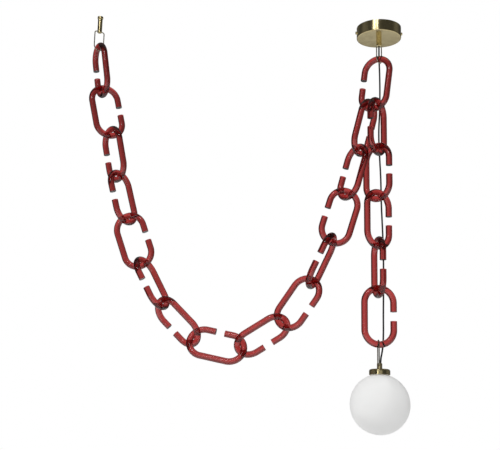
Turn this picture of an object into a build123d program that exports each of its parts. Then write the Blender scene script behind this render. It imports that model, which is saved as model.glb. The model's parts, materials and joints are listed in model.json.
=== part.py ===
"""Swag pendant lamp: a chain of cut glass links hung from a ceiling hanger and a brass canopy.

Units are millimetres, +Z is up and -Y is the front. The origin is the centre of the canopy's
ceiling face. The glass swag runs from the hanger on the left down and up to the junction link
under the canopy. The run of links below the junction carries the lamp, with its cord beside it.
"""

from build123d import *
import math
import os

os.makedirs("parts", exist_ok=True)

# --- glass links -----------------------------------------------------------------------------
ROD_R = 8.5
BOW_R = 37.5
LEG = 69.0
GLASS_GAP = 24.0
CLEAR = 0.3

# Each row: degrees below the horizontal, turn about the link's own length, side of the cut.
SWAG_LINKS = [
    (81, -55, -1),
    (77, 35, 1),
    (78, -45, -1),
    (75, 65, -1),
    (70, -5, 1),
    (62, 70, -1),
    (45, -45, -1),
    (12, 20, 1),
    (-32, -50, -1),
    (-56, 20, -1),
    (-65, -80, 1),
    (-73, -15, 1),
    (-75, 50, 1),
    (-76, -65, -1),
]
JUNCTION_LINK = (97, -35, -1)
RUN_LINKS = [
    (90, 55, -1),
    (90, -45, 1),
    (90, 35, 1),
    (90, -80, 1),
    (90, 5, 1),
]
SWAG_YAW = -7.5
RUN_CONTACT = 37.0
SWAG_CONTACT = -25.0
JUNCTION_CENTRE = Vector(-10.4, 0.0, -161.0)

# --- wire loops ------------------------------------------------------------------------------
WIRE_R = 1.5
LOOP_HALF_WIDTH = 14.25
LOOP_CORNER = 5.0
BUTT_GAP = 0.4
SPREAD_GAP = 6.8
WIRE_HOLE_R = 1.85
WIRE_CLEAR = 1.0
UPPER_LOOP_YAW = 55.0
HANGER_LOOP_YAW = 35.0
LOWER_LOOP_YAW = 90.0

# --- canopy ----------------------------------------------------------------------------------
CANOPY_R = 60.0
CANOPY_H = 31.0
CANOPY_WALL = 1.2
CANOPY_EDGE = 2.2
SIDE_SCREW_Z = -15.0
SIDE_SCREW_R = 2.0
SIDE_HEAD_R = 4.0
SIDE_HEAD_L = 3.6
STRAP_HALF = 57.4
STRAP_WIDTH = 18.0
STRAP_T = 2.0
STRAP_DROP = 21.0
STRAP_HOLE_X = 35.0
STRAP_HOLE_R = 2.5
SUPPLY_HOLE_R = 6.0
BLOCK_Y = 26.0
BLOCK_Z = -9.5
BLOCK_SIZE = (24.0, 15.0, 11.0)
TERMINAL_X = 6.0
STEM_R = 7.5
STEM_BOTTOM = -53.5
UPPER_HOLE_Z = -49.5
GRIP_TOP = -42.0
NIPPLE_TOP = -22.0
NIPPLE_BOTTOM = -41.0
NIPPLE_R = 5.0
NIPPLE_BORE_R = 3.4
NIPPLE_FIT = 0.05
NUT_R = 8.0
NUT_T = 3.5

# --- swag hanger -----------------------------------------------------------------------------
HANGER_TOP = 66.0
HANGER_LOOP_LENGTH = 56.0
HANGER_END = 2.9
HANGER_FLANGE_R = 8.0
HANGER_FLANGE_H = 7.0
HANGER_TUBE_R = 6.5
HANGER_THREAD_R = 3.0
HANGER_THREAD_DEPTH = 22.0

# --- lamp ------------------------------------------------------------------------------------
GLOBE_R = 75.0
GLOBE_Z = -1012.0
GLOBE_WALL = 3.0
NECK_R = 22.0
NECK_TOP = -928.6
CAP_R = 26.5
CAP_TOP = -925.0
CAP_BOTTOM = -939.0
CAP_WALL = 1.2
CAP_SHOULDER = 5.0
LAMP_STEM_R = 6.75
LAMP_STEM_TOP = -910.0
LOWER_HOLE_Z = -916.0
LAMP_GRIP_BOTTOM = -920.0
LAMP_NIPPLE_BOTTOM = -932.5
LAMP_NIPPLE_TOP = -920.5
LAMP_NUT_T = 3.0
LAMP_WIRE_SHIFT = -2.6
LAMP_CORD_SHIFT = 2.6
HOLDER_R = 13.5
HOLDER_LENGTH = 34.0
HOLDER_BORE_R = 7.4
BULB_BASE_R = 7.0
BULB_BASE_L = 22.0
BULB_R = 17.5
BULB_TUBE_L = 58.0

# --- cord ------------------------------------------------------------------------------------
CORD_R = 2.2
CORD_END_GAP = 0.35
CORD_BORE_R = 2.6
BEND_SHARE = 0.45
LEAD_R = 0.8

UP = Vector(0, 0, 1)
HALF_LEG = LEG / 2


def level_direction(yaw):
    """Unit vector in the horizontal plane, turned by yaw degrees from +X."""
    turn = math.radians(yaw)
    return Vector(math.cos(turn), math.sin(turn), 0)


def link_axes(slope, twist, yaw):
    """Direction a link runs in, and the direction across its two legs."""
    level = level_direction(yaw)
    pitch = math.radians(slope)
    along = level * math.cos(pitch) - UP * math.sin(pitch)
    across = level * math.sin(pitch) + UP * math.cos(pitch)
    away = along.cross(across)
    if away.Y < 0:
        away = -away
    turn = math.radians(twist)
    side = across * math.cos(turn) + away * math.sin(turn)
    return along, side


def in_link_plane(direction, along, side):
    """Part of a direction that lies in the plane of a link, made one unit long."""
    normal = along.cross(side)
    return (direction - normal * direction.dot(normal)).normalized()


def next_centre(centre, along_a, side_a, along_b, side_b, contact):
    """Centre of the link that hangs in the bow at the along_a end of the link before it."""
    out_a = in_link_plane(contact, along_a, side_a)
    out_b = in_link_plane(contact, along_b, side_b)
    bow_a = centre + along_a * HALF_LEG + out_a * BOW_R
    bow_b = bow_a - contact * (2 * ROD_R + CLEAR)
    return bow_b + out_b * BOW_R + along_b * HALF_LEG


def bow_contact(along, side, angle):
    """Direction from a link's lower bow centre to a rod that rests off the bow's middle."""
    turn = math.radians(angle)
    return along * math.cos(turn) + side * math.sin(turn)


def link_layout():
    """Name, centre, direction, side and cut side of every glass link."""
    slope, twist, cut = JUNCTION_LINK
    along_j, side_j = link_axes(slope, twist, 0)
    junction = ("junction_link", JUNCTION_CENTRE, along_j, side_j, cut)

    run = []
    centre = JUNCTION_CENTRE
    along_a, side_a = along_j, side_j
    for number, (slope, twist, cut) in enumerate(RUN_LINKS, start=2):
        along, side = link_axes(slope, twist, 0)
        contact = (along_a + along).normalized()
        if number == 2:
            contact = bow_contact(along_a, side_a, RUN_CONTACT)
        centre = next_centre(centre, along_a, side_a, along, side, contact)
        run.append((f"run_link_{number}", centre, along, side, cut))
        along_a, side_a = along, side

    swag = []
    centre = JUNCTION_CENTRE
    along_a, side_a = along_j, side_j
    for number in range(len(SWAG_LINKS), 0, -1):
        slope, twist, cut = SWAG_LINKS[number - 1]
        along, side = link_axes(slope, twist, SWAG_YAW)
        contact = (along_a - along).normalized()
        if number == len(SWAG_LINKS):
            contact = bow_contact(along_a, side_a, SWAG_CONTACT)
        centre = next_centre(centre, along_a, side_a, -along, side, contact)
        swag.append((f"swag_link_{number:02d}", centre, along, side, cut))
        along_a, side_a = -along, side

    swag.reverse()
    return swag, junction, run


def glass_link():
    """One glass rod bent to a long ring, with a square-cut gap in the leg on its +X side."""
    half_cut = GLASS_GAP / 2
    cut_leg_top = Line((BOW_R, half_cut), (BOW_R, HALF_LEG))
    top_bow = CenterArc((0, HALF_LEG), BOW_R, 0, 180)
    whole_leg = Line((-BOW_R, HALF_LEG), (-BOW_R, -HALF_LEG))
    bottom_bow = CenterArc((0, -HALF_LEG), BOW_R, 180, 180)
    cut_leg_bottom = Line((BOW_R, -HALF_LEG), (BOW_R, -half_cut))
    path = Wire([cut_leg_top, top_bow, whole_leg, bottom_bow, cut_leg_bottom])
    section = Plane(path @ 0, z_dir=path % 0) * Circle(ROD_R)
    return sweep(section, path=path)


def placed_link(blank, centre, along, side, cut):
    """A glass link turned so its length runs along, with its cut on the chosen side."""
    cut_side = side * cut
    return Plane(centre, x_dir=cut_side, z_dir=cut_side.cross(along)) * blank


def wire_loop(length, end_gap):
    """Wire loop in the XZ plane: a bar at the origin, split by a gap, and a round bow far below it."""
    flat = LOOP_HALF_WIDTH - LOOP_CORNER
    leg_end = -(length - LOOP_HALF_WIDTH)
    bar_right = Line((end_gap / 2, 0), (flat, 0))
    corner_right = CenterArc((flat, -LOOP_CORNER), LOOP_CORNER, 90, -90)
    leg_right = Line((LOOP_HALF_WIDTH, -LOOP_CORNER), (LOOP_HALF_WIDTH, leg_end))
    bow = CenterArc((0, leg_end), LOOP_HALF_WIDTH, 0, -180)
    leg_left = Line((-LOOP_HALF_WIDTH, leg_end), (-LOOP_HALF_WIDTH, -LOOP_CORNER))
    corner_left = CenterArc((-flat, -LOOP_CORNER), LOOP_CORNER, 180, -90)
    bar_left = Line((-flat, 0), (-end_gap / 2, 0))
    path = Wire([bar_right, corner_right, leg_right, bow, leg_left, corner_left, bar_left])
    section = Plane(path @ 0, z_dir=path % 0) * Circle(WIRE_R)
    return Rot(X=90) * sweep(section, path=path)


def upright_cylinder(radius, bottom, top, x=0.0, y=0.0):
    """Solid cylinder along Z between two heights."""
    return Pos(x, y, (bottom + top) / 2) * Cylinder(radius, top - bottom)


def turned(points):
    """Solid of revolution about Z from a closed outline of (radius, height) points."""
    outline = Plane.XZ * make_face(Polyline(*points, close=True))
    return revolve(outline, Axis.Z)


def round_cup(radius, top, bottom, wall, edge):
    """Thin cup whose closed end is the bottom, with a rounded outer edge, open at the top."""
    outer = upright_cylinder(radius, bottom, top)
    outer = fillet(outer.edges().group_by(Axis.Z)[0], edge)
    inner = upright_cylinder(radius - wall, bottom + wall, top + wall)
    inner = fillet(inner.edges().group_by(Axis.Z)[0], edge - wall)
    return outer - inner


def side_point(yaw, distance):
    """Point at a distance from the Z axis, in the direction of yaw."""
    return level_direction(yaw) * distance


def cross_hole(yaw, shift, height, radius, length):
    """Cylinder along a horizontal direction, moved sideways from the Z axis."""
    offset = side_point(yaw - 90, shift)
    centre = Vector(offset.X, offset.Y, height)
    return Plane(centre, z_dir=level_direction(yaw)) * Cylinder(radius, length)


def canopy_cup():
    """Round brass cup with a centre hole and two side holes for the retaining screws."""
    cup = round_cup(CANOPY_R, 0, -CANOPY_H, CANOPY_WALL, CANOPY_EDGE)
    cup -= upright_cylinder(NIPPLE_R + NIPPLE_FIT, -CANOPY_H - 1, -CANOPY_H + 5)
    for sign in (-1, 1):
        hole = Cylinder(SIDE_SCREW_R + 0.25, 12)
        cup -= Pos(sign * CANOPY_R, 0, SIDE_SCREW_Z) * Rot(Y=90) * hole
    return cup


def ceiling_strap():
    """Steel strap screwed to the ceiling, with two legs that the side screws thread into."""
    strap = Pos(0, 0, -STRAP_T / 2) * Box(2 * STRAP_HALF, STRAP_WIDTH, STRAP_T)
    for sign in (-1, 1):
        leg = Box(STRAP_T, STRAP_WIDTH, STRAP_DROP)
        strap += Pos(sign * (STRAP_HALF - STRAP_T / 2), 0, -STRAP_DROP / 2) * leg
        thread = Cylinder(SIDE_SCREW_R + 0.02, 8)
        strap -= Pos(sign * STRAP_HALF, 0, SIDE_SCREW_Z) * Rot(Y=90) * thread
        strap -= upright_cylinder(STRAP_HOLE_R, -5, 5, x=sign * STRAP_HOLE_X)
    strap -= upright_cylinder(SUPPLY_HOLE_R, -5, 5)
    return strap


def side_screws():
    """Pair of knurled thumb screws through the canopy wall into the strap."""
    screws = []
    for sign in (-1, 1):
        head = Pos(0, 0, SIDE_HEAD_L / 2) * Cylinder(SIDE_HEAD_R, SIDE_HEAD_L)
        head = chamfer(head.edges().group_by(Axis.Z)[-1], 0.6)
        flutes = PolarLocations(SIDE_HEAD_R + 0.25, 16) * Cylinder(0.5, 3 * SIDE_HEAD_L)
        shank = Pos(0, 0, -4.5) * Cylinder(SIDE_SCREW_R, 9)
        screw = head - flutes + shank
        screws.append(Pos(sign * (CANOPY_R + 0.1), 0, SIDE_SCREW_Z) * Rot(Y=sign * 90) * screw)
    return Compound(children=screws)


def hollow_nipple(bottom, top, x=0.0, y=0.0):
    """Threaded brass tube, drawn at its thread's outer size."""
    tube = upright_cylinder(NIPPLE_R, bottom, top, x, y)
    return tube - upright_cylinder(NIPPLE_BORE_R, bottom - 1, top + 1, x, y)


def hex_nut(bottom, thickness, x=0.0, y=0.0):
    """Hexagon locknut on the threaded tube."""
    body = Pos(x, y, bottom) * extrude(RegularPolygon(NUT_R, 6), thickness)
    return body - upright_cylinder(NIPPLE_R + NIPPLE_FIT, bottom - 1, bottom + thickness + 1, x, y)


def canopy_stem():
    """Turned brass end under the canopy, bored for the cord, with a side hole for each wire end."""
    stem = upright_cylinder(STEM_R, STEM_BOTTOM, -CANOPY_H)
    stem = chamfer(stem.edges().group_by(Axis.Z)[0], 1.6)
    stem -= upright_cylinder(NIPPLE_R + NIPPLE_FIT, NIPPLE_BOTTOM, -CANOPY_H + 1)
    stem -= upright_cylinder(CORD_BORE_R, STEM_BOTTOM - 1, NIPPLE_BOTTOM + 1)
    stem -= cross_hole(UPPER_LOOP_YAW, 0, UPPER_HOLE_Z, WIRE_HOLE_R, 30)
    return stem


def upper_cord_grip():
    """Plastic bush that holds the cord in the canopy stem."""
    return upright_cylinder(CORD_BORE_R - 0.05, STEM_BOTTOM, GRIP_TOP)


def terminal_block():
    """Porcelain block on the strap's underside, with two screw terminals' openings."""
    block = Pos(0, BLOCK_Y, BLOCK_Z) * Box(*BLOCK_SIZE)
    for x in (-TERMINAL_X, TERMINAL_X):
        block -= Pos(x, BLOCK_Y, BLOCK_Z) * Rot(X=90) * Cylinder(2.0, 2 * BLOCK_SIZE[1])
    return block


def terminal_screws():
    """Pair of clamping screws in the terminal block's underside."""
    screws = []
    face = BLOCK_Z - BLOCK_SIZE[2] / 2
    for x in (-TERMINAL_X, TERMINAL_X):
        screws.append(upright_cylinder(1.8, face - 1.6, face, x, BLOCK_Y))
    return Compound(children=screws)


def canopy_leads():
    """Two insulated conductors from the cord grip up through the nipple to the terminals."""
    leads = []
    block_front = BLOCK_Y - BLOCK_SIZE[1] / 2 - 0.1
    for sign in (-1, 1):
        path = FilletPolyline(
            (sign * 1.0, 0, GRIP_TOP),
            (sign * 1.2, 0.4, NIPPLE_TOP - 3),
            (sign * 1.6, 3.0, BLOCK_Z - 3),
            (sign * TERMINAL_X, 12.0, BLOCK_Z),
            (sign * TERMINAL_X, block_front, BLOCK_Z),
            radius=2.5,
        )
        section = Plane(path @ 0, z_dir=path % 0) * Circle(LEAD_R)
        leads.append(sweep(section, path=path))
    return Compound(children=leads)


def hanger_sleeve(x, y, hole_z):
    """Brass sleeve that screws onto a ceiling stud and carries the swag's wire loop."""
    bottom = hole_z - HANGER_END
    flange = upright_cylinder(HANGER_FLANGE_R, HANGER_TOP - HANGER_FLANGE_H, HANGER_TOP)
    flange = fillet(flange.edges().group_by(Axis.Z)[0], 2.0)
    tube = upright_cylinder(HANGER_TUBE_R, bottom, HANGER_TOP - 1)
    tube = chamfer(tube.edges().group_by(Axis.Z)[0], 1.0)
    sleeve = flange + tube
    sleeve -= upright_cylinder(HANGER_THREAD_R, HANGER_TOP - HANGER_THREAD_DEPTH, HANGER_TOP + 1)
    sleeve -= cross_hole(HANGER_LOOP_YAW, 0, hole_z, WIRE_HOLE_R, 30)
    return Pos(x, y, 0) * sleeve


def lamp_stem(x, y):
    """Turned brass stem on the lamp cap, cross-drilled for the lower loop and bored for the cord."""
    stem = upright_cylinder(LAMP_STEM_R, CAP_TOP, LAMP_STEM_TOP)
    stem = chamfer(stem.edges().group_by(Axis.Z)[-1], 1.0)
    stem -= upright_cylinder(NIPPLE_R + NIPPLE_FIT, CAP_TOP - 1, LAMP_NIPPLE_TOP)
    stem -= upright_cylinder(CORD_BORE_R, CAP_TOP + 4, LAMP_STEM_TOP + 1, x=LAMP_CORD_SHIFT)
    stem -= cross_hole(LOWER_LOOP_YAW, LAMP_WIRE_SHIFT, LOWER_HOLE_Z, WIRE_HOLE_R, 30)
    return Pos(x, y, 0) * stem


def lower_cord_grip(x, y):
    """Plastic bush that holds the cord in the lamp stem."""
    return upright_cylinder(CORD_BORE_R - 0.05, LAMP_GRIP_BOTTOM, LAMP_STEM_TOP, x + LAMP_CORD_SHIFT, y)


def lamp_cap(x, y):
    """Shallow brass cap over the globe's neck, with a rounded top edge."""
    outer = upright_cylinder(CAP_R, CAP_BOTTOM, CAP_TOP)
    outer = fillet(outer.edges().group_by(Axis.Z)[-1], CAP_SHOULDER)
    inner = upright_cylinder(CAP_R - CAP_WALL, CAP_BOTTOM - 1, CAP_TOP - CAP_WALL)
    inner = fillet(inner.edges().group_by(Axis.Z)[-1], CAP_SHOULDER - CAP_WALL)
    cap = outer - inner
    cap -= upright_cylinder(NIPPLE_R + NIPPLE_FIT, CAP_TOP - 3, CAP_TOP + 1)
    return Pos(x, y, 0) * cap


def gallery_ring(x, y):
    """Threaded ring fixed inside the cap, which the globe's neck screws into."""
    bottom = CAP_BOTTOM + 0.6
    top = CAP_TOP - CAP_SHOULDER - CAP_WALL
    ring = upright_cylinder(CAP_R - CAP_WALL - 0.05, bottom, top)
    ring -= upright_cylinder(NECK_R + CLEAR, bottom - 1, top + 1)
    return Pos(x, y, 0) * ring


def lampholder(x, y):
    """Small lampholder shell under the cap, bored for the bulb's base."""
    top = CAP_TOP - CAP_WALL - LAMP_NUT_T - 0.1
    bottom = top - HOLDER_LENGTH
    shell = upright_cylinder(HOLDER_R, bottom, top)
    shell = fillet(shell.edges().group_by(Axis.Z)[-1], 3.0)
    shell -= upright_cylinder(HOLDER_BORE_R, bottom - 1, bottom + BULB_BASE_L + 1.5)
    shell -= upright_cylinder(NIPPLE_R + NIPPLE_FIT, top - 5, top + 1)
    shell -= upright_cylinder(NIPPLE_BORE_R, bottom + BULB_BASE_L + 4, top)
    return Pos(x, y, 0) * shell


def lamp_leads(x, y):
    """Two insulated conductors from the cord grip down through the nipple to the lampholder."""
    leads = []
    for sign in (-1, 1):
        start = Vector(x + LAMP_CORD_SHIFT / 2, y + sign * 1.1, LAMP_GRIP_BOTTOM)
        end = Vector(x, y + sign * 1.2, LAMP_NIPPLE_BOTTOM - 1.5)
        axis = end - start
        middle = (start + end) * 0.5
        leads.append(Plane(middle, z_dir=axis) * Cylinder(LEAD_R, axis.length))
    return Compound(children=leads)


def globe(x, y):
    """Opal glass ball with a straight neck, blown hollow."""
    outer = Pos(0, 0, GLOBE_Z) * Sphere(GLOBE_R)
    outer += upright_cylinder(NECK_R, GLOBE_Z, NECK_TOP)
    inner = Pos(0, 0, GLOBE_Z) * Sphere(GLOBE_R - GLOBE_WALL)
    inner += upright_cylinder(NECK_R - GLOBE_WALL, GLOBE_Z, NECK_TOP + 1)
    return Pos(x, y, 0) * (outer - inner)


def bulb_base_top():
    """Height of the bulb's contact end inside the lampholder."""
    holder_bottom = CAP_TOP - CAP_WALL - LAMP_NUT_T - 0.1 - HOLDER_LENGTH
    return holder_bottom + BULB_BASE_L


def bulb_base(x, y):
    """Screw base of the bulb with its contact button."""
    top = bulb_base_top()
    base = upright_cylinder(BULB_BASE_R, top - BULB_BASE_L - 4, top - 1.5)
    return Pos(x, y, 0) * (base + upright_cylinder(2.5, top - 2, top))


def bulb_envelope(x, y):
    """Tubular glass bulb under its base."""
    top = bulb_base_top() - BULB_BASE_L - 4
    shoulder = top - 12
    low = shoulder - BULB_TUBE_L
    tip = low - BULB_R
    outline = [
        Line((0, top), (BULB_BASE_R, top)),
        Line((BULB_BASE_R, top), (BULB_R, shoulder)),
        Line((BULB_R, shoulder), (BULB_R, low)),
        CenterArc((0, low), BULB_R, 0, -90),
        Line((0, tip), (0, top)),
    ]
    body = revolve(Plane.XZ * make_face(Wire(outline)), Axis.Z)
    return Pos(x, y, 0) * body


def cord_route(x, y):
    """Points the cord passes, from the canopy stem down behind the links to the lamp stem."""
    return [
        Vector(0.0, 0.0, STEM_BOTTOM),
        Vector(0.4, 5.0, -65.0),
        Vector(2.2, 17.6, -86.0),
        Vector(4.4, 24.5, -127.0),
        Vector(5.2, 29.5, -182.0),
        Vector(4.0, 31.5, -234.0),
        Vector(0.4, 30.0, -291.0),
        Vector(2.0, 27.5, -354.0),
        Vector(4.8, 26.0, -420.0),
        Vector(5.2, 27.5, -483.0),
        Vector(7.4, 27.0, -544.0),
        Vector(9.0, 25.5, -604.0),
        Vector(9.2, 25.0, -664.0),
        Vector(8.4, 25.5, -724.0),
        Vector(7.0, 23.5, -784.0),
        Vector(6.2, 18.0, -826.0),
        Vector(4.0, 11.5, -862.0),
        Vector(-0.4, 3.0, -884.0),
        Vector(x + LAMP_CORD_SHIFT + 1.0, y + 2.3, -897.0),
        Vector(x + LAMP_CORD_SHIFT, y, LAMP_STEM_TOP),
    ]


def bend_radii(points):
    """Largest tangent arc at each corner of a route that both its runs leave room for."""
    radii = []
    for before, corner, after in zip(points, points[1:], points[2:]):
        run_in = corner - before
        run_out = after - corner
        half_turn = math.radians(run_in.get_angle(run_out)) / 2
        shorter = min(run_in.length, run_out.length)
        radii.append(BEND_SHARE * shorter / math.tan(half_turn))
    return radii


def power_cord(x, y):
    """Round flexible cord beside the run of links."""
    points = cord_route(x, y)
    radii = bend_radii(points)
    print("cord bend radii:", [round(r) for r in radii])
    path = FilletPolyline(*points, radius=radii)
    section = Plane(path @ 0, z_dir=path % 0) * Circle(CORD_R)
    cord = sweep(section, path=path)
    cord -= upright_cylinder(STEM_R, STEM_BOTTOM - CORD_END_GAP, STEM_BOTTOM + 5)
    cord -= upright_cylinder(LAMP_STEM_R, LAMP_STEM_TOP - 5, LAMP_STEM_TOP, x, y)
    print("cord length:", round(path.length, 1))
    print("cord volume ratio:", round(cord.volume / (path.length * math.pi * CORD_R**2), 4))
    return cord


def build_parts():
    """Every named piece of the lamp in its place."""
    swag, junction, run = link_layout()
    parts = {}
    blank = glass_link()
    for name, centre, along, side, cut in [*swag, junction, *run]:
        parts[name] = placed_link(blank, centre, along, side, cut)

    parts["canopy_cup"] = canopy_cup()
    parts["ceiling_strap"] = ceiling_strap()
    parts["side_screws"] = side_screws()
    parts["canopy_nipple"] = hollow_nipple(NIPPLE_BOTTOM, NIPPLE_TOP)
    parts["canopy_locknut"] = hex_nut(-CANOPY_H + CANOPY_WALL, NUT_T)
    parts["canopy_stem"] = canopy_stem()
    parts["upper_cord_grip"] = upper_cord_grip()
    parts["terminal_block"] = terminal_block()
    parts["terminal_screws"] = terminal_screws()
    parts["canopy_leads"] = canopy_leads()

    rest = ROD_R + WIRE_R + WIRE_CLEAR
    reach = HALF_LEG + BOW_R
    junction_top = JUNCTION_CENTRE - junction[2] * reach
    upper_length = UPPER_HOLE_Z - (junction_top.Z - rest)
    upper_place = Pos(0, 0, UPPER_HOLE_Z) * Rot(Z=UPPER_LOOP_YAW)
    parts["upper_wire_loop"] = upper_place * wire_loop(upper_length, SPREAD_GAP)

    first_top = swag[0][1] - swag[0][2] * reach
    hanger_hole = first_top.Z - rest + HANGER_LOOP_LENGTH
    parts["hanger_sleeve"] = hanger_sleeve(first_top.X, first_top.Y, hanger_hole)
    hanger_place = Pos(first_top.X, first_top.Y, hanger_hole) * Rot(Z=HANGER_LOOP_YAW)
    parts["hanger_wire_loop"] = hanger_place * wire_loop(HANGER_LOOP_LENGTH, BUTT_GAP)

    last_bottom = run[-1][1] + run[-1][2] * reach
    x, y = last_bottom.X, last_bottom.Y
    loop_top = last_bottom.Z + rest
    lower_place = Pos(x + LAMP_WIRE_SHIFT, y, LOWER_HOLE_Z) * Rot(Z=LOWER_LOOP_YAW) * Rot(X=180)
    parts["lower_wire_loop"] = lower_place * wire_loop(loop_top - LOWER_HOLE_Z, BUTT_GAP)
    parts["lamp_stem"] = lamp_stem(x, y)
    parts["lower_cord_grip"] = lower_cord_grip(x, y)
    parts["lamp_nipple"] = hollow_nipple(LAMP_NIPPLE_BOTTOM, LAMP_NIPPLE_TOP, x, y)
    parts["lamp_locknut"] = hex_nut(CAP_TOP - CAP_WALL - LAMP_NUT_T, LAMP_NUT_T, x, y)
    parts["lamp_cap"] = lamp_cap(x, y)
    parts["gallery_ring"] = gallery_ring(x, y)
    parts["lampholder"] = lampholder(x, y)
    parts["lamp_leads"] = lamp_leads(x, y)
    parts["globe"] = globe(x, y)
    parts["bulb_base"] = bulb_base(x, y)
    parts["bulb_envelope"] = bulb_envelope(x, y)
    parts["power_cord"] = power_cord(x, y)
    return parts


if __name__ == "__main__":
    for part_name, part in build_parts().items():
        export_step(part, f"parts/{part_name}.step")
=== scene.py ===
import bpy
import json
import math
from mathutils import Matrix, Vector


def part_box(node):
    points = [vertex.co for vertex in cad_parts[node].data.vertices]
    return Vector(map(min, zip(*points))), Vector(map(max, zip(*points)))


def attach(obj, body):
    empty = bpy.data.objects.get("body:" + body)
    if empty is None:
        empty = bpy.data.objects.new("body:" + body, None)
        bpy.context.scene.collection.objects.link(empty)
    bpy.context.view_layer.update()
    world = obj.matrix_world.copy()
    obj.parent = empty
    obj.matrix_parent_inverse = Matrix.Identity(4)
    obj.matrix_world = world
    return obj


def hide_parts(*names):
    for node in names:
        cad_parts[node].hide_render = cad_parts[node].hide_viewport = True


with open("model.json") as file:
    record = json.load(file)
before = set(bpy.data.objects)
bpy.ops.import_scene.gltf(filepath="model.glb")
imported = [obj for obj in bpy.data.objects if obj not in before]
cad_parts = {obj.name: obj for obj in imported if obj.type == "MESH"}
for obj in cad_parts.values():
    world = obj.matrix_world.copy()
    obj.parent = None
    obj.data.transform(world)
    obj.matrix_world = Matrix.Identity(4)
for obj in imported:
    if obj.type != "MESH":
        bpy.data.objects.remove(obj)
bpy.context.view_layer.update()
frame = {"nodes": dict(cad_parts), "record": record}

nodes = frame["nodes"]
record = frame["record"]


def add_object(name, data):
    """New object for some data, linked into the scene."""
    item = bpy.data.objects.new(name, data)
    bpy.context.scene.collection.objects.link(item)
    return item


# ---------------------------------------------------------------- camera
PITCH = math.radians(13.26)  # it looks up at the lamp
ROLL = math.radians(-1.16)
CAMERA_PLACE = (-0.3404, -2.529, -1.154)
SENSOR_WIDTH = 36.0
LENS = 71.95
CLIP_END = 50.0

camera_data = bpy.data.cameras.new("camera")
camera = add_object("camera", camera_data)
bpy.context.scene.camera = camera
camera_data.sensor_width = SENSOR_WIDTH
camera_data.lens = LENS
camera_data.clip_end = CLIP_END
forward = Vector((0.0, math.cos(PITCH), math.sin(PITCH)))
up_level = Vector((0.0, -math.sin(PITCH), math.cos(PITCH)))
right_level = Vector((1.0, 0.0, 0.0))
right = (right_level * math.cos(ROLL) - up_level * math.sin(ROLL)).normalized()
up = (up_level * math.cos(ROLL) + right_level * math.sin(ROLL)).normalized()
turn = Matrix((right, up, -forward)).transposed().to_4x4()
camera.matrix_world = Matrix.Translation(CAMERA_PLACE) @ turn

# Standard keeps the photograph's whites pure white.
bpy.context.scene.view_settings.view_transform = "Standard"

# ---------------------------------------------------------------- cord
CORD_DIAMETER = 0.0044
CORD_RESOLUTION = 12  # steps along each stretch of the spline
CORD_ROUNDNESS = 6  # steps round the tube

lamp_low, lamp_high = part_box("lamp_stem")
stem_low, stem_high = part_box("canopy_stem")
lamp_x = (lamp_low.x + lamp_high.x) / 2
lamp_y = (lamp_low.y + lamp_high.y) / 2
# The route of part.py. Its ends are drawn back a little, to clear both stems in every pose.
cord_points = [
    (0.0, 0.0, stem_low.z - 0.0012),
    (0.0004, 0.0050, -0.0650),
    (0.0022, 0.0176, -0.0860),
    (0.0044, 0.0245, -0.1270),
    (0.0052, 0.0295, -0.1820),
    (0.0040, 0.0315, -0.2340),
    (0.0004, 0.0300, -0.2910),
    (0.0020, 0.0275, -0.3540),
    (0.0048, 0.0260, -0.4200),
    (0.0052, 0.0275, -0.4830),
    (0.0074, 0.0270, -0.5440),
    (0.0090, 0.0255, -0.6040),
    (0.0092, 0.0250, -0.6640),
    (0.0084, 0.0255, -0.7240),
    (0.0070, 0.0235, -0.7840),
    (0.0062, 0.0180, -0.8260),
    (0.0040, 0.0115, -0.8620),
    (-0.0004, 0.0030, -0.8840),
    (lamp_x + 0.0036, lamp_y + 0.0023, -0.8970),
    (lamp_x + 0.0026, lamp_y, lamp_high.z + 0.0006),
]
cord_curve = bpy.data.curves.new("power_cord_line", "CURVE")
cord_curve.dimensions = "3D"
spline = cord_curve.splines.new("NURBS")
spline.points.add(len(cord_points) - 1)
for point, place in zip(spline.points, cord_points):
    point.co = (*place, 1.0)
    point.radius = CORD_DIAMETER / 2
spline.order_u = 3
spline.use_endpoint_u = True
spline.resolution_u = CORD_RESOLUTION
# The tube's radius is bevel depth times point radius. It sits in the points, because
# Blender's box of the curve grows by each point's radius, which is 1 m by default.
cord_curve.bevel_depth = 1.0
cord_curve.bevel_resolution = CORD_ROUNDNESS
cord_curve.use_fill_caps = True
cord = add_object("power_cord_smooth", cord_curve)
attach(cord, "hanging_chain")
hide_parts("power_cord")

# ---------------------------------------------------------------- materials
# A noise is given as (scale, detail), or (scale, detail, roughness).
NOISE_LOW, NOISE_HIGH = 0.3, 0.7  # where nearly all of a noise's values lie
FINE_RELIEF = 0.0002  # metres
GLASS_IOR = 1.5
GLASS_PASSES = (0.67, 0.0, 0.0)
GLASS_DENSITY = 163.0


def noise(tree, scale, detail, roughness=0.5):
    """Noise over the object's own coordinates."""
    place = tree.nodes.new("ShaderNodeTexCoord")
    texture = tree.nodes.new("ShaderNodeTexNoise")
    texture.inputs["Scale"].default_value = scale
    texture.inputs["Detail"].default_value = detail
    texture.inputs["Roughness"].default_value = roughness
    tree.links.new(place.outputs["Object"], texture.inputs["Vector"])
    return texture.outputs["Fac"]


def ramp(tree, source, stops):
    """Colour ramp over a source; the two stops are (place, colour)."""
    node = tree.nodes.new("ShaderNodeValToRGB")
    for element, (place, colour) in zip(node.color_ramp.elements, stops):
        element.position = place
        element.color = (*colour, 1.0)
    tree.links.new(source, node.inputs["Fac"])
    return node.outputs["Color"]


def spread(tree, source, low, high):
    """Maps a noise to low..high."""
    node = tree.nodes.new("ShaderNodeMapRange")
    node.inputs["From Min"].default_value = NOISE_LOW
    node.inputs["From Max"].default_value = NOISE_HIGH
    node.inputs["To Min"].default_value = low
    node.inputs["To Max"].default_value = high
    tree.links.new(source, node.inputs["Value"])
    return node.outputs["Result"]


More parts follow.
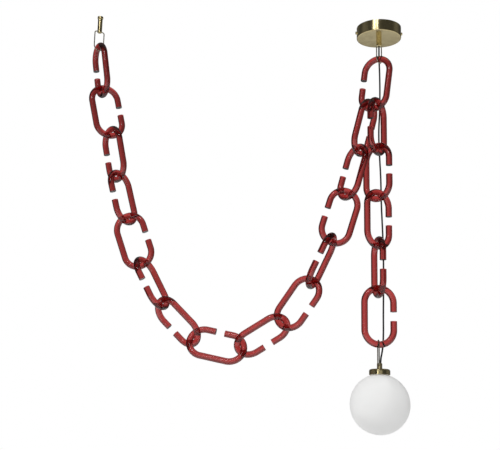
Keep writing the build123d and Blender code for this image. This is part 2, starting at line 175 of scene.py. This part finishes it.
def bump(tree, source, strength, depth):
    """Normal that a height source disturbs."""
    node = tree.nodes.new("ShaderNodeBump")
    node.inputs["Strength"].default_value = strength
    node.inputs["Distance"].default_value = depth
    tree.links.new(source, node.inputs["Height"])
    return node.outputs["Normal"]


def make_material(name, colour, roughness, relief, sockets):
    """Principled material from three noises and values for the shader's own sockets.

    colour is (noise, stops), roughness (noise, low, high), relief (noise, strength, depth).
    """
    material = bpy.data.materials.new(name)
    material.use_nodes = True
    tree = material.node_tree
    tree.nodes.clear()
    output = tree.nodes.new("ShaderNodeOutputMaterial")
    shader = tree.nodes.new("ShaderNodeBsdfPrincipled")
    tree.links.new(shader.outputs["BSDF"], output.inputs["Surface"])
    for socket, value in sockets.items():
        shader.inputs[socket].default_value = value
    for make, socket, (source, *values) in (
        (ramp, "Base Color", colour),
        (spread, "Roughness", roughness),
        (bump, "Normal", relief),
    ):
        result = make(tree, noise(tree, *source), *values)
        tree.links.new(result, shader.inputs[socket])
    return material


def ruby_glass():
    """Clear glass, coloured by what it absorbs on the way through."""
    material = make_material(
        "ruby_glass",
        colour=((30.0, 2.0), [(0.3, (0.88, 0.64, 0.60)), (0.7, (1.0, 0.76, 0.72))]),
        roughness=((120.0, 2.0), 0.10, 0.14),
        relief=((14.0, 0.0), 0.02, 0.0010),
        sockets={"Transmission Weight": 1.0, "IOR": GLASS_IOR},
    )
    tree = material.node_tree
    volume = tree.nodes.new("ShaderNodeVolumeAbsorption")
    volume.inputs["Color"].default_value = (*GLASS_PASSES, 1.0)
    volume.inputs["Density"].default_value = GLASS_DENSITY
    output = tree.get_output_node("ALL")
    tree.links.new(volume.outputs["Volume"], output.inputs["Volume"])
    return material


def opal_glass():
    """White glass that light soaks into."""
    return make_material(
        "opal_glass",
        colour=((9.0, 3.0), [(0.3, (0.90, 0.90, 0.89)), (0.7, (0.94, 0.94, 0.93))]),
        roughness=((60.0, 3.0), 0.38, 0.48),
        relief=((700.0, 2.0), 0.03, FINE_RELIEF),
        sockets={
            "Subsurface Weight": 0.35,
            "Subsurface Radius": (1.0, 1.0, 1.0),
            "Subsurface Scale": 0.02,
            "Specular IOR Level": 0.35,
        },
    )


def metal(name, dark, light, rough_low, rough_high):
    """Lacquered metal with patches of tarnish."""
    return make_material(
        name,
        colour=((55.0, 5.0, 0.6), [(0.35, dark), (0.68, light)]),
        roughness=((35.0, 3.0), rough_low, rough_high),
        relief=((60.0, 2.0), 0.01, FINE_RELIEF),
        sockets={"Metallic": 1.0, "Coat Weight": 0.10, "Coat Roughness": 0.12},
    )


def matt(name, dark, light, rough_low, rough_high, grain=250.0, relief=0.08):
    """Plastic, porcelain or paint; grain is how fine its mottling is."""
    return make_material(
        name,
        colour=((grain / 4, 4.0), [(0.35, dark), (0.65, light)]),
        roughness=((grain / 2, 3.0), rough_low, rough_high),
        relief=((grain * 4, 2.0), relief, FINE_RELIEF),
        sockets={},
    )


METALS = {
    # slot: dark colour, light colour, lowest and highest roughness
    "aged_brass": ((0.58, 0.485, 0.25), (0.70, 0.59, 0.32), 0.13, 0.20),
    "brass_wire": ((0.30, 0.27, 0.20), (0.42, 0.38, 0.28), 0.14, 0.20),
    "plain_brass": ((0.56, 0.42, 0.20), (0.72, 0.56, 0.30), 0.25, 0.38),
    "zinc_steel": ((0.50, 0.50, 0.49), (0.64, 0.64, 0.63), 0.30, 0.42),
    "bulb_cap": ((0.62, 0.62, 0.61), (0.75, 0.75, 0.74), 0.28, 0.38),
}
MATTS = {
    # slot: dark colour, light colour, lowest and highest roughness, then grain and relief
    "bulb_glass": ((0.88, 0.88, 0.87), (0.94, 0.94, 0.93), 0.35, 0.50),
    "porcelain": ((0.80, 0.79, 0.75), (0.88, 0.87, 0.83), 0.15, 0.25),
    "black_cord": ((0.010, 0.010, 0.011), (0.020, 0.020, 0.022), 0.50, 0.65, 500.0, 0.15),
    "black_nylon": ((0.012, 0.012, 0.012), (0.025, 0.025, 0.025), 0.40, 0.55),
    "lead_sheath": ((0.22, 0.10, 0.05), (0.30, 0.15, 0.08), 0.40, 0.55),
}
looks = {"ruby_glass": ruby_glass(), "opal_glass": opal_glass()}
looks |= {name: metal(name, *values) for name, values in METALS.items()}
looks |= {name: matt(name, *values) for name, values in MATTS.items()}

for subpart in record["subparts"]:
    material = looks[subpart["material_slot"]]
    data = nodes[subpart["node"]].data
    if not data.materials:
        data.materials.append(material)
    for index in range(len(data.materials)):
        data.materials[index] = material
cord_curve.materials.append(looks["black_cord"])

# ---------------------------------------------------------------- floor
FLOOR_Z = -1.60
FLOOR_HALF = 3.5

floor_mesh = bpy.data.meshes.new("floor")
corners = [
    (-FLOOR_HALF, -FLOOR_HALF, FLOOR_Z),
    (FLOOR_HALF, -FLOOR_HALF, FLOOR_Z),
    (FLOOR_HALF, FLOOR_HALF, FLOOR_Z),
    (-FLOOR_HALF, FLOOR_HALF, FLOOR_Z),
]
floor_mesh.from_pydata(corners, [], [(0, 1, 2, 3)])
floor = add_object("floor", floor_mesh)
floor_mesh.materials.append(
    matt("floor_paint", (0.80, 0.80, 0.80), (0.84, 0.84, 0.84), 0.7, 0.8, 20.0, 0.02)
)

# ---------------------------------------------------------------- surroundings
# The camera and matt surfaces see plain white. Glossy and transparent ones see a soft
# studio: dim, with glows behind, in front, at both sides and above. The glow behind is
# whole low down and weaker high up.
MIRRORED_SHARE = 0.15  # of the glows behind and at the sides, in a mirrored ray
STUDIO_DIM = 0.06
PLAIN_WHITE = 1.0

world = bpy.data.worlds.new("studio")
bpy.context.scene.world = world
world.use_nodes = True
tree = world.node_tree
tree.nodes.clear()
world_out = tree.nodes.new("ShaderNodeOutputWorld")
background = tree.nodes.new("ShaderNodeBackground")
direction = tree.nodes.new("ShaderNodeTexCoord")


def glow(axis, start, full, strength, dim=0.0):
    """Brightness that rises smoothly from dim to strength as a direction nears an axis.

    start and full are the cosines of the angle to the axis where the rise begins and ends.
    """
    along = tree.nodes.new("ShaderNodeVectorMath")
    along.operation = "DOT_PRODUCT"
    tree.links.new(direction.outputs["Generated"], along.inputs[0])
    along.inputs[1].default_value = Vector(axis).normalized()
    level = tree.nodes.new("ShaderNodeMapRange")
    level.interpolation_type = "SMOOTHSTEP"
    level.inputs["From Min"].default_value = start
    level.inputs["From Max"].default_value = full
    level.inputs["To Min"].default_value = dim
    level.inputs["To Max"].default_value = strength
    tree.links.new(along.outputs["Value"], level.inputs["Value"])
    return level.outputs["Result"]


def combine(operation, first, second):
    """Math node over two sources; the second may be a number."""
    node = tree.nodes.new("ShaderNodeMath")
    node.operation = operation
    tree.links.new(first, node.inputs[0])
    if isinstance(second, float):
        node.inputs[1].default_value = second
    else:
        tree.links.new(second, node.inputs[1])
    return node.outputs["Value"]


path = tree.nodes.new("ShaderNodeLightPath")
through = tree.nodes.new("ShaderNodeMapRange")
through.inputs["To Min"].default_value = MIRRORED_SHARE
tree.links.new(path.outputs["Is Transmission Ray"], through.inputs["Value"])

behind = glow((-0.16, 0.98, 0.12), start=0.60, full=0.92, strength=1.08)
low_down = glow((0.45, 0.0, -0.9), start=-0.50, full=0.05, strength=1.0, dim=0.30)
behind = combine("MULTIPLY", behind, low_down)
behind = combine("MULTIPLY", behind, through.outputs["Result"])
front = glow((0.0, -1.0, -0.1), start=0.86, full=0.97, strength=0.35)
left_side = glow((-1.0, -0.1, 0.1), start=0.85, full=0.97, strength=0.60)
right_side = glow((1.0, 0.1, 0.1), start=0.85, full=0.97, strength=0.60)
sides = combine("ADD", left_side, right_side)
sides = combine("MULTIPLY", sides, through.outputs["Result"])
above = glow((0.0, 0.2, 1.0), start=0.55, full=0.95, strength=0.22)
studio = combine("ADD", combine("ADD", behind, front), combine("ADD", sides, above))
studio = combine("ADD", studio, STUDIO_DIM)
sees_white = combine("MAXIMUM", path.outputs["Is Camera Ray"], path.outputs["Is Diffuse Ray"])
choose = tree.nodes.new("ShaderNodeMix")  # inputs 0, 2 and 3 are its factor and two numbers
tree.links.new(sees_white, choose.inputs[0])
tree.links.new(studio, choose.inputs[2])
choose.inputs[3].default_value = PLAIN_WHITE
tree.links.new(choose.outputs[0], background.inputs["Strength"])
background.inputs["Color"].default_value = (1.0, 1.0, 1.0, 1.0)
tree.links.new(background.outputs["Background"], world_out.inputs["Surface"])

# ---------------------------------------------------------------- lights
CHAIN_MIDDLE = (-0.2, 0.0, -0.5)
CANOPY = (0.0, 0.0, 0.0)
BALL = (0.0, 0.0, -0.9)
LIGHTS = [
    # name, place, what it is aimed at, width, height, radiance, whether it is mirrored
    ("soft_key", (-2.4, -2.6, 0.4), BALL, 2.2, 2.2, 0.9, False),
    ("strip_high", (-1.76, -2.5, 1.15), CANOPY, 0.30, 0.45, 2.6, True),
    ("strip_low", (-1.30, -2.5, -0.70), BALL, 0.50, 0.5, 2.4, True),
    ("dot_left", (-1.35, -2.5, 1.50), CHAIN_MIDDLE, 0.36, 0.36, 13.0, True),
    ("dot_right", (-0.75, -2.7, 1.50), CHAIN_MIDDLE, 0.36, 0.36, 13.0, True),
]
for name, place, target, width, height, radiance, mirrored in LIGHTS:
    data = bpy.data.lights.new(name, "AREA")
    data.shape = "RECTANGLE"
    data.size = width
    data.size_y = height
    data.energy = radiance * math.pi * width * height
    light = add_object(name, data)
    light.location = place
    aim = Vector(target) - Vector(place)
    light.rotation_euler = aim.to_track_quat("-Z", "Y").to_euler()
    light.visible_glossy = mirrored
    light.visible_transmission = False
